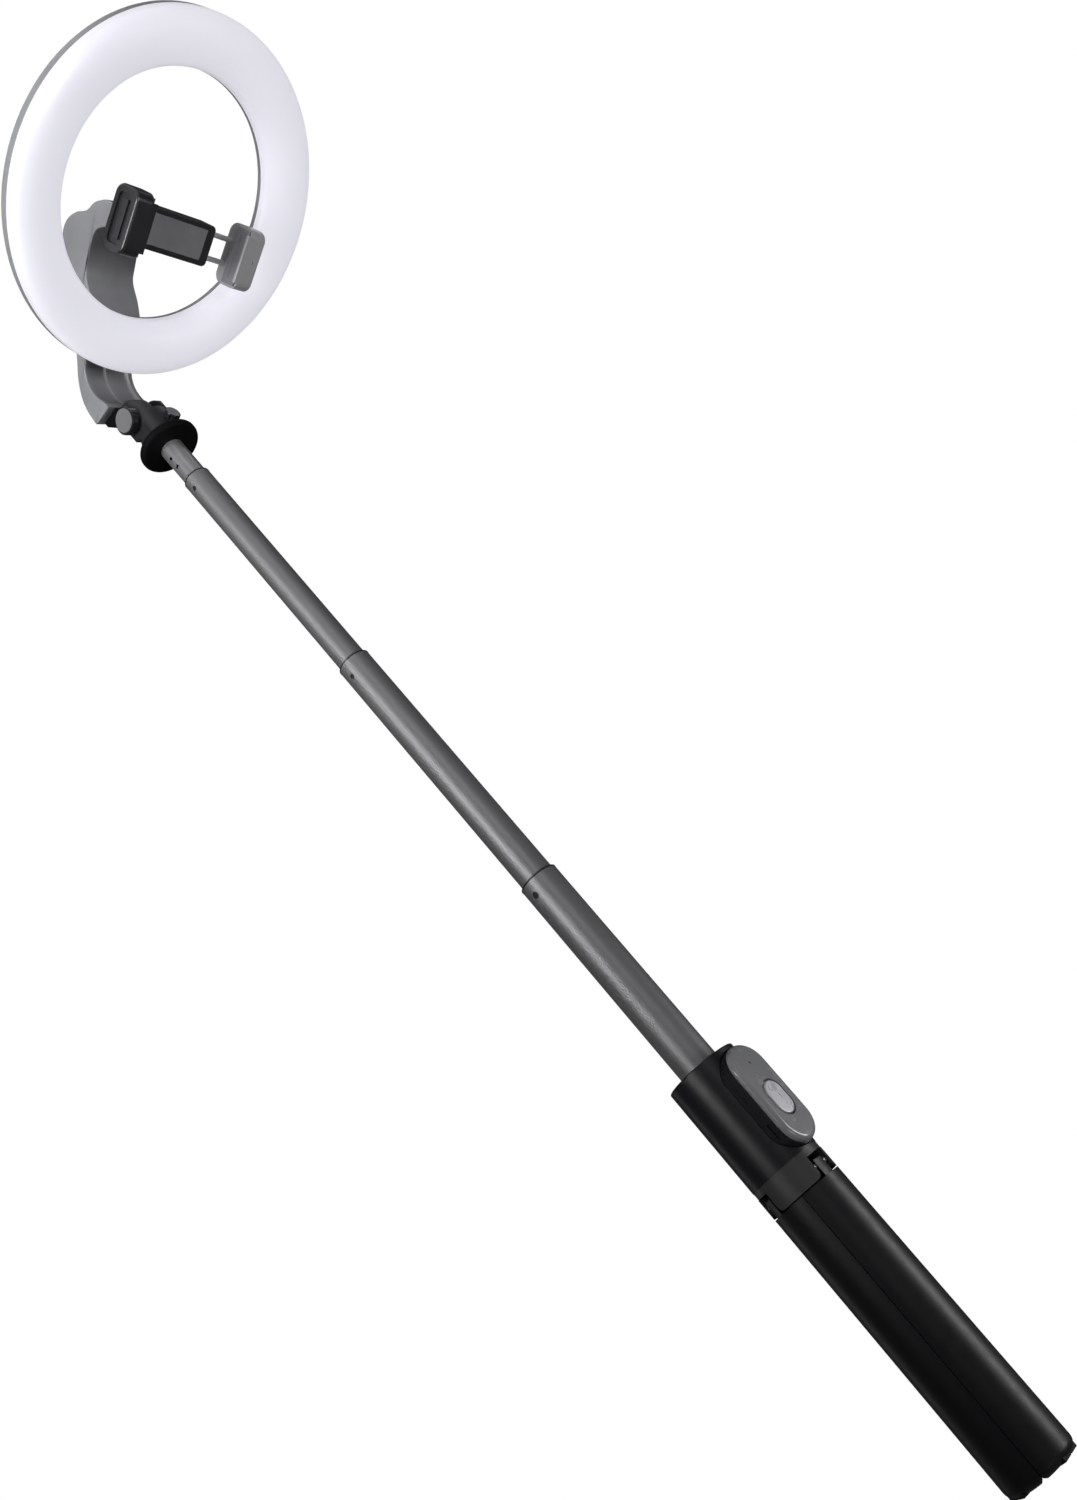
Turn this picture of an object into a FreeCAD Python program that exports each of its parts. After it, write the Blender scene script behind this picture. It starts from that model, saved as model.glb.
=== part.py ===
import FreeCAD, Part
import Sketcher
import math
import os

# Telescopic selfie stick with a folding three-leg handle, a docked remote, a
# tilting head, a ring light and a rotating phone clamp.
#
# Frame: +Z runs up the stick from the handle to the head, the origin is on the
# stick's axis at the middle of the folded grip.  +X is the side of the head on
# which the tilt knob sits, +Y is the side towards which the ring light leans
# out and on which the remote is docked.  All sizes are in millimetres.

os.makedirs("parts", exist_ok=True)
V = FreeCAD.Vector
doc = FreeCAD.newDocument("selfie_stick")
sheet = doc.addObject("Spreadsheet::Sheet", "dims")

DIMS = [
    # handle
    ("grip_rad", 19.5, "outer radius of collar and folded legs"),
    ("bottom_z", -80.0, "lower end of the folded legs"),
    ("leg_top_z", 70.8, "upper face of the legs"),
    ("tab_low_z", 71.45, "lower face of the hub between the hinges"),
    ("hub_top_z", 82.5, "upper end of the hinge zone"),
    ("lip_top_z", 86.0, "upper face of the narrow lip above the hinge zone"),
    ("collar_top_z", 146.0, "mouth of the collar"),
    ("collar_in_rad", 15.5, "inner radius of the collar"),
    ("hinge_rad", 16.0, "distance of a leg pin from the axis"),
    ("hinge_z", 77.0, "height of the leg pins"),
    ("pin_rad", 1.2, "leg pin radius"),
    ("pin_half", 8.8, "half the length of a leg pin"),
    ("knuckle_rad", 3.3, "leg knuckle radius"),
    ("knuckle_half", 3.4, "half the width of a leg knuckle"),
    ("slot_half", 6.4, "half the width of a hinge opening"),
    ("leg_in_rad", 12.8, "inner radius of a leg"),
    ("leg_wall", 2.2, "wall of a leg"),
    ("leg_half_deg", 59.5, "half the angle that a leg covers"),
    ("leg_end_fillet", 4.6, "rounding of the lower end of a leg"),
    ("sleeve_in_rad", 11.45, "inner radius of the centre sleeve"),
    ("sleeve_out_rad", 12.3, "outer radius of the centre sleeve"),
    ("sleeve_low_z", -72.0, "lower end of the centre sleeve"),
    ("sleeve_top_z", 133.5, "upper end of the centre sleeve"),
    # tubes
    ("wall", 0.6, "tube wall"),
    ("a_rad", 10.9, "tube A outer radius"),
    ("a_top", 272.0, "tube A mouth"),
    ("a_low", 67.0, "tube A lower end"),
    ("b_rad", 9.6, "tube B outer radius"),
    ("b_top", 435.5, "tube B mouth"),
    ("b_low", 243.5, "tube B lower end"),
    ("c_rad", 8.3, "tube C outer radius"),
    ("c_top", 594.5, "tube C mouth"),
    ("c_low", 410.0, "tube C lower end"),
    ("d_rad", 7.2, "tube D outer radius"),
    ("d_top", 623.0, "tube D upper end"),
    ("d_low", 450.0, "tube D lower end"),
    ("run_gap", 0.06, "radial running gap of the bushes"),
    ("foot_len", 10.0, "length of a foot bush"),
    ("mouth_len", 12.0, "length of a mouth bush"),
    ("lip_len", 1.1, "thickness of a mouth bush's lip"),
    # head
    ("flange_low", 623.0, "lower face of the flange disc"),
    ("flange_top", 628.5, "upper face of the flange disc"),
    ("flange_rad", 19.0, "flange disc radius"),
    ("pivot_z", 649.0, "tilt axis height"),
    ("neck_rad", 13.7, "neck radius"),
    ("neck_half", 12.2, "half width over the neck's ears"),
    ("ear_rad", 12.5, "radius of the neck's ears about the tilt axis"),
    ("tongue_half", 4.3, "half width of the arm's tongue"),
    ("slot_x", 4.6, "half width of the neck's slot"),
    ("tongue_rad", 8.5, "round end of the tongue"),
    ("bolt_rad", 2.5, "tilt bolt radius"),
    ("head_tilt", 16.4, "lean of the ring plane, degrees about X"),
    # arm
    ("arm_half", 17.5, "half width of the arm"),
    ("arm_wall", 2.4, "wall of the arm shell"),
    # ring
    ("ring_c", 125.7, "ring centre above the tilt axis, along the ring plane"),
    ("ring_set", 2.5, "set-back of the whole ring light"),
    ("ring_front", 17.7, "widest plane of the ring behind the tilt axis"),
    ("ring_rad", 103.4, "ring outer radius"),
    ("ring_in", 71.6, "ring opening radius"),
    ("ring_back", 29.0, "back face of the ring housing"),
    ("ring_seam", 24.6, "seam between housing and diffuser, inner wall"),
    ("ring_lip", 22.5, "seam between housing and diffuser, outer wall"),
    # clamp
    ("clamp_t", 109.0, "clamp axis above the tilt axis"),
    ("clamp_turn", 7.2, "rest angle of the clamp about its axis, degrees"),
    ("clamp_gap", 36.0, "half of the rest opening between the pads"),
    ("jaw_half", 18.3, "half length of a jaw"),
    ("jaw_front", -9.5, "front face of a jaw"),
    ("jaw_back", 10.5, "back face of a jaw"),
    ("jaw_out", 49.0, "outer face of a jaw from the clamp axis"),
    ("rod_rad", 1.6, "guide rod radius"),
    # remote
    ("remote_z", 115.0, "middle of the remote"),
    ("remote_half", 28.0, "half length of the remote"),
    ("remote_wide", 12.9, "half width of the remote"),
    ("remote_low_y", 13.75, "inner face of the remote"),
    ("remote_seam_y", 21.4, "seam of the remote"),
    ("remote_top_y", 24.7, "outer face of the remote"),
]
VALUES = {}
for i, (alias, value, note) in enumerate(DIMS, start=1):
    sheet.set("A%d" % i, note)
    sheet.set("B%d" % i, repr(float(value)))
    sheet.setAlias("B%d" % i, alias)
    VALUES[alias] = float(value)
doc.recompute()


class Q:
    """A length taken from the sheet, with its number and its formula."""

    def __init__(self, v, e):
        self.v, self.e = float(v), e

    @staticmethod
    def of(x):
        return x if isinstance(x, Q) else Q(x, "(%r)" % float(x))

    def __add__(self, o):
        o = Q.of(o)
        return Q(self.v + o.v, "(%s + %s)" % (self.e, o.e))

    __radd__ = __add__

    def __sub__(self, o):
        o = Q.of(o)
        return Q(self.v - o.v, "(%s - %s)" % (self.e, o.e))

    def __rsub__(self, o):
        return Q.of(o) - self

    def __mul__(self, o):
        o = Q.of(o)
        return Q(self.v * o.v, "(%s * %s)" % (self.e, o.e))

    __rmul__ = __mul__

    def __truediv__(self, o):
        o = Q.of(o)
        return Q(self.v / o.v, "(%s / %s)" % (self.e, o.e))

    def __neg__(self):
        return Q(0, "(0)") - self


class Dims:
    def __getattr__(self, name):
        return Q(VALUES[name], "dims." + name)


D = Dims()
n_ = lambda x: x.v if isinstance(x, Q) else float(x)
made = {}
ROT = {
    "z": FreeCAD.Rotation(),
    "x": FreeCAD.Rotation(V(0, 1, 0), 90),
    "-x": FreeCAD.Rotation(V(0, 1, 0), -90),
    "y": FreeCAD.Rotation(V(1, 0, 0), -90),
    "-y": FreeCAD.Rotation(V(1, 0, 0), 90),
}


def bind(obj, prop, q):
    if isinstance(q, Q):
        obj.setExpression(prop, q.e)
    else:
        setattr(obj, prop, float(q))


def place(obj, pos, rot=None):
    obj.Placement = FreeCAD.Placement(V(*[n_(p) for p in pos]), rot or FreeCAD.Rotation())
    for axis, p in zip("xyz", pos):
        if isinstance(p, Q):
            obj.setExpression("Placement.Base." + axis, p.e)
    return obj


def cyl(name, r, h, pos=(0, 0, 0), axis="z", rot=None):
    o = doc.addObject("Part::Cylinder", name)
    bind(o, "Radius", r)
    bind(o, "Height", h)
    return place(o, pos, rot or ROT[axis])


def cone(name, r1, r2, h, pos=(0, 0, 0), axis="z"):
    o = doc.addObject("Part::Cone", name)
    bind(o, "Radius1", r1)
    bind(o, "Radius2", r2)
    bind(o, "Height", h)
    return place(o, pos, ROT[axis])


def box(name, lo, hi, rot=None):
    o = doc.addObject("Part::Box", name)
    for prop, a, b in zip(("Length", "Width", "Height"), lo, hi):
        bind(o, prop, Q.of(b) - Q.of(a))
    return place(o, lo, rot)


def cut(name, base, *tools):
    o = doc.addObject("Part::Cut", name)
    o.Base = base
    o.Tool = tools[0] if len(tools) == 1 else fuse(name + "_tools", *tools)
    return o


def fuse(name, *shapes):
    o = doc.addObject("Part::MultiFuse", name)
    o.Shapes = list(shapes)
    return o


def common(name, *shapes):
    o = doc.addObject("Part::MultiCommon", name)
    o.Shapes = list(shapes)
    return o


def fillet(name, base, r, pick):
    """Fillets the edges of base for which pick(edge) is true."""
    doc.recompute()
    idx = [i for i, e in enumerate(base.Shape.Edges, start=1) if pick(e)]
    o = doc.addObject("Part::Fillet", name)
    o.Base = base
    o.Edges = [(i, n_(r), n_(r)) for i in idx]
    doc.recompute()
    if o.Shape.isNull() or not o.Shape.isValid() or not idx:
        print("fillet left out", name, len(idx))
        doc.removeObject(o.Name)
        return base
    return o


def moved(name, base, placement):
    """A copy of base's shape, kept linked, at another place."""
    o = doc.addObject("Part::Compound", name)
    o.Links = [base]
    o.Placement = placement
    return o


def plane_of(body, role):
    return [f for f in body.Origin.OriginFeatures if f.Role == role][0]


def polygon(body, name, role, pts, offset=None):
    """A closed polygon sketch whose corners are held by dimensions."""
    sk = body.newObject("Sketcher::SketchObject", name)
    sk.AttachmentSupport = [(plane_of(body, role), "")]
    sk.MapMode = "FlatFace"
    if offset is not None:
        sk.AttachmentOffset = FreeCAD.Placement(V(0, 0, n_(offset)), FreeCAD.Rotation())
        if isinstance(offset, Q):
            sk.setExpression("AttachmentOffset.Base.z", offset.e)
    n = len(pts)
    P = [V(n_(x), n_(y), 0) for x, y in pts]
    sk.addGeometry([Part.LineSegment(P[i], P[(i + 1) % n]) for i in range(n)], False)
    sk.addConstraint([Sketcher.Constraint("Coincident", i, 2, (i + 1) % n, 1) for i in range(n)])
    for i, (x, y) in enumerate(pts):
        for kind, val, ax in (("X", x, -2), ("Y", y, -1)):
            if abs(n_(val)) < 1e-9:
                sk.addConstraint(Sketcher.Constraint("PointOnObject", i, 1, ax))
            else:
                j = sk.addConstraint(Sketcher.Constraint("Distance" + kind, -1, 1, i, 1, n_(val)))
                if isinstance(val, Q):
                    sk.renameConstraint(j, "%s%d" % (kind.lower(), i))
                    sk.setExpression("Constraints.%s%d" % (kind.lower(), i), val.e)
    return sk


def revolve(label, pts, axis="z"):
    """A body turned about its own Z axis from a profile of (radius, height) points."""
    body = doc.addObject("PartDesign::Body", label)
    sk = polygon(body, label + "_profile", "XZ_Plane", pts)
    rev = body.newObject("PartDesign::Revolution", label + "_turned")
    rev.Profile = sk
    rev.ReferenceAxis = (sk, ["V_Axis"])
    rev.Angle = 360
    body.Placement = FreeCAD.Placement(V(), ROT[axis])
    return body


def pad(label, role, pts, length, offset=None, mid=True):
    body = doc.addObject("PartDesign::Body", label)
    sk = polygon(body, label + "_profile", role, pts, offset)
    p = body.newObject("PartDesign::Pad", label + "_pad")
    p.Profile = sk
    bind(p, "Length", length)
    if mid:
        p.SideType = "Symmetric"
    return body


def body_fillet(body, r, pick):
    doc.recompute()
    tip = body.Tip
    names = ["Edge%d" % i for i, e in enumerate(tip.Shape.Edges, start=1) if pick(e)]
    if not names:
        print("no edge to round on", body.Label)
        return
    f = body.newObject("PartDesign::Fillet", body.Name + "_round%d" % len(body.Group))
    f.Base = (tip, names)
    bind(f, "Radius", r)
    doc.recompute()
    if f.Shape.isNull() or not f.Shape.isValid() or "Invalid" in f.State:
        print("fillet left out on", body.Label, len(names))
        body.removeObject(f)
        doc.removeObject(f.Name)
        body.Tip = tip
        doc.recompute()


def node(label, obj, placement=None):
    if placement is not None and obj.TypeId in ("Part::Box", "Part::Cylinder", "Part::Cone"):
        obj = moved(label + "_placed", obj, placement)
    elif placement is not None:
        obj.Placement = placement
    obj.Label = label
    made[label] = obj
    return obj


def zc(e):
    return e.BoundBox.ZMin, e.BoundBox.ZMax


def circ_at(z, r=None, tol=0.02):
    def pick(e):
        lo, hi = zc(e)
        return abs(lo - z) < tol and abs(hi - z) < tol and (r is None or abs(e.BoundBox.XLength / 2 - r) < 0.1)
    return pick


ROW = FreeCAD.Placement()
HEAD = FreeCAD.Placement(V(0, 0, D.pivot_z.v), FreeCAD.Rotation(V(1, 0, 0), D.head_tilt.v))
CLAMP = HEAD * FreeCAD.Placement(V(0, D.clamp_t.v, 0), FreeCAD.Rotation(V(0, 0, 1), D.clamp_turn.v))


def turn(deg):
    return FreeCAD.Placement(V(), FreeCAD.Rotation(V(0, 0, 1), deg))


# ---------------------------------------------------------------- handle hub
hub_ring = cyl("hub_zone", D.grip_rad, D.hub_top_z - D.tab_low_z, (0, 0, D.tab_low_z))
hub_lip = cyl("hub_lip", D.grip_rad - 0.25, D.lip_top_z - D.hub_top_z, (0, 0, D.hub_top_z))
hub_spigot = cyl("hub_spigot", D.collar_in_rad - 0.05, 12, (0, 0, D.lip_top_z))
hub_solid = fuse("hub_solid", hub_ring, hub_lip, hub_spigot)
hub_bore = cyl("hub_bore", D.sleeve_out_rad + 0.03, 60, (0, 0, 60))
hub_tools = [hub_bore, box("hub_dock_flat", (-20, 12.6, D.lip_top_z), (20, 22, 99))]
for k, az in enumerate((90, 210, 330), start=1):
    slot = box("hinge_opening_%d" % k, (10, -D.slot_half, D.tab_low_z - 1), (24, D.slot_half, D.hub_top_z))
    hub_tools.append(moved("hinge_opening_%d_at" % k, slot, turn(az)))
    pinhole = cyl("pin_hole_%d" % k, D.pin_rad, D.pin_half * 2, (0, 0, 0), "y")
    pinhole.Placement = turn(az) * FreeCAD.Placement(V(D.hinge_rad.v, -D.pin_half.v, D.hinge_z.v), ROT["y"])
    hub_tools.append(pinhole)
    screw_hole = cyl("screw_hole_%d" % k, 1.25, 8, (0, 0, 0), "x")
    screw_hole.Placement = turn({90: 150, 210: 210, 330: 270}[az]) * FreeCAD.Placement(V(D.sleeve_out_rad.v + 0.03, 0, 92), ROT["x"])
    hub_tools.append(screw_hole)
hub = cut("hub_core_cut", hub_solid, *hub_tools)
# the lower corners of the three tabs are rounded where they meet the openings


def tab_corner(e):
    bb = e.BoundBox
    if abs(bb.ZMin - D.tab_low_z.v) > 0.02 or abs(bb.ZMax - D.tab_low_z.v) > 0.02 or len(e.Vertexes) != 2:
        return False
    if e.Curve.TypeId != "Part::GeomLine":
        return False
    a, b = e.Vertexes[0].Point, e.Vertexes[1].Point
    for az in (90, 210, 330):
        c, s = math.cos(math.radians(az)), math.sin(math.radians(az))
        ta, tb = -a.x * s + a.y * c, -b.x * s + b.y * c
        ra, rb = a.x * c + a.y * s, b.x * c + b.y * s
        if ra > 10 and rb > 10 and abs(abs(ta) - 6.4) < 0.02 and abs(abs(tb) - 6.4) < 0.02:
            return True
    return False


node("hub_core", fillet("hub_core_round", hub, 3.0, tab_corner))

node("hinge_pins", fuse("hinge_pins_group", *[
    (lambda o: (setattr(o, "Placement", turn(az) * FreeCAD.Placement(V(D.hinge_rad.v, -D.pin_half.v, D.hinge_z.v), ROT["y"])), o)[1])(
        cyl("hinge_pin_%d" % k, D.pin_rad, D.pin_half * 2, (0, 0, 0), "y"))
    for k, az in enumerate((90, 210, 330), start=1)]))

node("inner_sleeve", revolve("inner_sleeve", [
    (D.sleeve_in_rad, D.sleeve_low_z), (D.sleeve_out_rad, D.sleeve_low_z),
    (D.sleeve_out_rad, D.sleeve_top_z), (D.sleeve_in_rad, D.sleeve_top_z)]))

# ---------------------------------------------------------------- collar
collar = cut("collar_body",
             cyl("collar_outer", D.grip_rad, D.collar_top_z - D.lip_top_z, (0, 0, D.lip_top_z)),
             cyl("collar_inner", D.collar_in_rad, 80, (0, 0, D.lip_top_z - 5)))
collar = fillet("collar_edges", collar, 0.7, circ_at(146.0, 19.5))
dock_pad = common("dock_pad",
                  box("dock_block", (-D.remote_wide - 2.2, 12.75, D.remote_z - D.remote_half - 0.9), (D.remote_wide + 2.2, 16.5, D.collar_top_z - 0.8)),
                  cyl("dock_limit", D.grip_rad - 0.02, 70, (0, 0, D.lip_top_z)))


def pill(name, half_w, half_l, y0, y1, grow=0.0):
    """A stadium-shaped solid that stands on the +Y side, between y0 and y1."""
    w, h = half_w + grow, half_l + grow
    zc0 = D.remote_z
    a = box(name + "_mid", (-w, y0, zc0 - (h - w)), (w, y1, zc0 + (h - w)))
    b = cyl(name + "_up", w, Q.of(y1) - Q.of(y0), (0, y0, zc0 + (h - w)), "y")
    c = cyl(name + "_down", w, Q.of(y1) - Q.of(y0), (0, y0, zc0 - (h - w)), "y")
    return fuse(name, a, b, c)


collar_all = fuse("collar_with_dock", collar, dock_pad)
collar_screws_holes = []
for k, az in enumerate((150, 210, 270), start=1):
    hole = cyl("collar_screw_hole_%d" % k, 1.3, 10, (0, 0, 0), "x")
    hole.Placement = turn(az) * FreeCAD.Placement(V(14.5, 0, 92), ROT["x"])
    head = cyl("collar_screw_seat_%d" % k, 2.5, 5, (0, 0, 0), "x")
    head.Placement = turn(az) * FreeCAD.Placement(V(17.6, 0, 92), ROT["x"])
    collar_screws_holes += [hole, head]
collar_cut = cut("collar_shell_cut", collar_all,
                 pill("remote_recess", D.remote_wide, D.remote_half, D.remote_low_y - 0.15, 26, 0.35),
                 cyl("sleeve_clear", D.sleeve_out_rad + 0.2, 70, (0, 0, D.lip_top_z - 2)), *collar_screws_holes)
node("collar_shell", collar_cut)

screws = []
for k, az in enumerate((150, 210, 270), start=1):
    s1 = cyl("hub_screw_shank_%d" % k, 1.25, 5.0, (0, 0, 0), "x")
    s1.Placement = turn(az) * FreeCAD.Placement(V(12.6, 0, 92), ROT["x"])
    s2 = cyl("hub_screw_head_%d" % k, 2.4, 1.5, (0, 0, 0), "x")
    s2.Placement = turn(az) * FreeCAD.Placement(V(17.6, 0, 92), ROT["x"])
    s3 = box("hub_screw_slot_%d" % k, (0, 0, 0), (1, 3.2, 0.7))
    s3.Placement = turn(az) * FreeCAD.Placement(V(18.6, -1.6, 91.65), FreeCAD.Rotation())
    screws.append(cut("hub_screw_%d" % k, fuse("hub_screw_blank_%d" % k, s1, s2), s3))
node("hub_screws", fuse("hub_screws_group", *screws))

bush_ring = revolve("collar_bush_ring", [
    (D.a_rad + D.run_gap, 134.0), (D.collar_in_rad - 0.05, 134.0), (D.collar_in_rad - 0.05, D.collar_top_z - 0.3),
    (D.collar_in_rad - 0.5, D.collar_top_z + 0.2), (D.a_rad + 0.5, D.collar_top_z + 0.2), (D.a_rad + D.run_gap, D.collar_top_z - 0.4)])
node("collar_bush", cut("collar_bush_cut", bush_ring, box("bush_dock_flat", (-20, 12.7, 130), (20, 20, D.collar_top_z - 0.75))))

# ---------------------------------------------------------------- legs
for k, az in enumerate((90, 210, 330), start=1):
    tag = "leg_%d" % k
    outer = cut(tag + "_tube",
                cyl(tag + "_outer", D.grip_rad, D.leg_top_z - D.bottom_z, (0, 0, D.bottom_z)),
                cyl(tag + "_inner", D.leg_in_rad, 200, (0, 0, D.bottom_z - 5)))
    outer = fillet(tag + "_end_round", outer, D.leg_end_fillet, circ_at(-80.0, 19.5))
    # wedge of the leg: two side cuts
    wedge_pts = [(0, 0), (60, 60 * math.tan(math.radians(D.leg_half_deg.v))), (60, 200), (-80, 200), (-80, -200), (60, -200),
                 (60, -60 * math.tan(math.radians(D.leg_half_deg.v)))]
    wedge = pad(tag + "_wedge", "XY_Plane", wedge_pts, 300)
    hollow_cyl = cut(tag + "_hollow_ring",
                     cyl(tag + "_hollow_out", D.grip_rad - D.leg_wall, 118, (0, 0, -62)),
                     cyl(tag + "_hollow_in", D.leg_in_rad - 1, 130, (0, 0, -66)))
    hw = math.tan(math.radians(46))
    hollow_keep = pad(tag + "_hollow_keep", "XY_Plane", [(0, 0), (30, -30 * hw), (30, 30 * hw)], 300)
    hollow = common(tag + "_hollow", hollow_cyl, hollow_keep)
    knuckle = cyl(tag + "_knuckle", D.knuckle_rad, D.knuckle_half * 2, (D.hinge_rad, -D.knuckle_half, D.hinge_z), "y")
    stem = box(tag + "_knuckle_stem", (D.hinge_rad - D.knuckle_rad, -D.knuckle_half, D.leg_top_z - 1.0),
               (D.hinge_rad + 2.2, D.knuckle_half, D.hinge_z))
    stem_in = common(tag + "_stem_trim", fuse(tag + "_knuckle_all", knuckle, stem),
                     cyl(tag + "_stem_limit", D.grip_rad - 1.3, 40, (0, 0, 60)))
    bore = cyl(tag + "_pin_bore", D.pin_rad + 0.05, 30, (D.hinge_rad, -15, D.hinge_z), "y")
    foot_pocket = box(tag + "_foot_pocket", (D.leg_in_rad + 1.4, -7.0, D.bottom_z - 1), (D.grip_rad - 1.8, 7.0, D.bottom_z + 3))
    notches = []
    for side in (-60, 60):
        nb = box(tag + "_notch_%d" % (side + 60), (9, -1.4, -1.4), (22, 1.4, 1.4))
        notches.append(moved(tag + "_notch_at_%d" % (side + 60), nb,
                             turn(side) * FreeCAD.Placement(V(0, 0, D.bottom_z.v), FreeCAD.Rotation(V(1, 0, 0), 45))))
    leg = cut(tag + "_shell_cut", fuse(tag + "_solid", cut(tag + "_sector", outer, wedge, hollow), stem_in), bore, foot_pocket, *notches)
    leg.Placement = turn(az)
    node(tag + "_shell", leg)
    foot = cut(tag + "_foot_cut",
               box(tag + "_foot_block", (D.leg_in_rad + 1.4, -7.0, D.bottom_z), (D.grip_rad - 1.8, 7.0, D.bottom_z + 3)),
               box(tag + "_foot_groove", (D.leg_in_rad, -0.6, D.bottom_z - 1), (D.grip_rad, 0.6, D.bottom_z + 0.6)))
    foot.Placement = turn(az)
    node(tag + "_foot", foot)

# ---------------------------------------------------------------- telescopic tubes


def dimple(name, r, z, size, depth=0.45, tall=None, az=0):
    """A small dark dimple pressed into a tube."""
    rot = FreeCAD.Rotation(V(0, 0, 1), az) * ROT["x"]
    p = turn(az).multVec(V(n_(r) - depth, 0, n_(z)))
    return _at(cyl(name, size, 3, (0, 0, 0)), p, rot)


def _at(o, p, rot):
    o.Placement = FreeCAD.Placement(p, rot)
    return o


def tube(tag, r, low, top, holes):
    blank = cut(tag + "_blank",
                cyl(tag + "_outer", r, top - low, (0, 0, low)),
                cyl(tag + "_bore", r - D.wall, top - low + 4, (0, 0, low - 2)))
    node(tag, cut(tag + "_cut", blank, *holes))


tube("tube_a", D.a_rad, D.a_low, D.a_top, [dimple("tube_a_hole", D.a_rad, 264.5, 1.9, 2.0), dimple("tube_a_dot", D.a_rad, 255.3, 0.9, 0.35)])
tube("tube_b", D.b_rad, D.b_low, D.b_top, [dimple("tube_b_hole", D.b_rad, 426.5, 1.5, 2.0)])
tube("tube_c", D.c_rad, D.c_low, D.c_top, [dimple("tube_c_hole", D.c_rad, 586.5, 1.5, 2.0)])
tube("tube_d", D.d_rad, D.d_low, D.d_top, [dimple("tube_d_hole_1", D.d_rad, 613.5, 1.15, 2.0), dimple("tube_d_hole_2", D.d_rad, 606.5, 1.15, 2.0)])


def foot_bush(tag, r, room, low):
    node(tag + "_foot_bush", revolve(tag + "_foot_bush", [
        (r, low + 0.4), (room - D.run_gap, low + 0.4), (room - D.run_gap, low + D.foot_len), (r, low + D.foot_len)]))


def mouth_bush(tag, r, inner, top, dim_z, size):
    """Lines a tube's mouth and guides the next tube; its tongue shows in the dimple."""
    b = revolve(tag + "_mouth_blank", [
        (inner + D.run_gap, top - D.mouth_len), (r - D.wall, top - D.mouth_len), (r - D.wall, top),
        (r + 0.12, top), (r + 0.12, top + D.lip_len * 0.6), (r - 0.28, top + D.lip_len), (inner + D.run_gap, top + D.lip_len)])
    node(tag + "_mouth_bush", b)


foot_bush("tube_a", D.a_rad, D.sleeve_in_rad, D.a_low)
foot_bush("tube_b", D.b_rad, D.a_rad - D.wall, D.b_low)
foot_bush("tube_c", D.c_rad, D.b_rad - D.wall, D.c_low)
foot_bush("tube_d", D.d_rad, D.c_rad - D.wall, D.d_low)
mouth_bush("tube_a", D.a_rad, D.b_rad, D.a_top, 264.5, 1.9)
mouth_bush("tube_b", D.b_rad, D.c_rad, D.b_top, 426.5, 1.5)
mouth_bush("tube_c", D.c_rad, D.d_rad, D.c_top, 586.5, 1.5)

# ---------------------------------------------------------------- flange and neck
flange = revolve("head_flange_blank", [
    (0, D.flange_low - 22), (D.d_rad - D.wall - 0.02, D.flange_low - 22), (D.d_rad - D.wall - 0.02, D.flange_low),
    (D.flange_rad, D.flange_low), (D.flange_rad, D.flange_top), (0, D.flange_top)])
body_fillet(flange, 2.3, lambda e: abs(e.BoundBox.XLength / 2 - 19.0) < 0.05 and e.BoundBox.ZLength < 0.01)
node("head_flange", cut("head_flange_cut", flange,
                        cyl("pan_thread", 2.5, 20, (0, 0, D.flange_top - 18)),
                        _at(cyl("rivet_hole_1", 0.9, 9, (0, 0, 0)), V(0, 0, 613.5), ROT["x"]),
                        _at(cyl("rivet_hole_2", 0.9, 9, (0, 0, 0)), V(0, 0, 606.5), ROT["x"])))
node("flange_rivets", fuse("flange_rivets_group", *[
    cut("rivet_%d" % k, fuse("rivet_solid_%d" % k,
                             _at(cyl("rivet_shank_%d" % k, 0.9, 3.2, (0, 0, 0)), V(3.4, 0, z), ROT["x"]),
                             _at(cyl("rivet_head_%d" % k, 1.1, 0.45, (0, 0, 0)), V(6.6, 0, z), ROT["x"])),
        _at(cyl("rivet_dimple_%d" % k, 0.45, 1, (0, 0, 0)), V(6.75, 0, z), ROT["x"]))
    for k, z in ((1, 613.5), (2, 606.5))]))

PZ = D.pivot_z
neck_col = cyl("neck_column", D.neck_rad, PZ + 13 - D.flange_top - 0.25, (0, 0, D.flange_top + 0.25))
neck_eye = cyl("neck_eye", D.ear_rad, D.neck_half * 2, (-D.neck_half, 0, PZ), "x")
neck_low = box("neck_low", (-D.neck_half, -4, D.flange_top + 0.25), (D.neck_half, 15, PZ))
neck_body = common("neck_body", neck_col, fuse("neck_ears", neck_eye, neck_low))
neck_base = cyl("neck_base", D.neck_rad, 2.2, (0, 0, D.flange_top + 0.25))
neck_waist = cyl("neck_waist", 12.2, PZ - 11.5 - D.flange_top - 0.25, (0, 0, D.flange_top + 0.25))
neck_all = fuse("neck_all", neck_body, neck_base, neck_waist)
neck = cut("neck_cut", neck_all,
           cyl("neck_slot_round", D.tongue_rad + 0.6, D.slot_x * 2, (-D.slot_x, 0, PZ), "x"),
           box("neck_slot_back", (-D.slot_x, -15, PZ - 10.55), (D.slot_x, 0, PZ + 14)),
           box("neck_slot_front", (-D.slot_x, 0, PZ - 2.5), (D.slot_x, 15, PZ + 14)),
           cyl("neck_bolt_hole", D.bolt_rad, 40, (-20, 0, PZ), "x"),
           cyl("neck_pan_hole", 2.56, 4, (0, 0, D.flange_top - 1)),
           cyl("neck_pan_seat", 4.1, 11.0, (0, 0, D.flange_top + 1.25)),
           cyl("neck_lock_hole", 2.0, 12, (0, 5, PZ - 14.6), "y"),
           cyl("neck_bolt_head_seat", 4.3, 2.2, (-D.neck_half, 0, PZ), "x"))
node("neck", neck)
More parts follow.
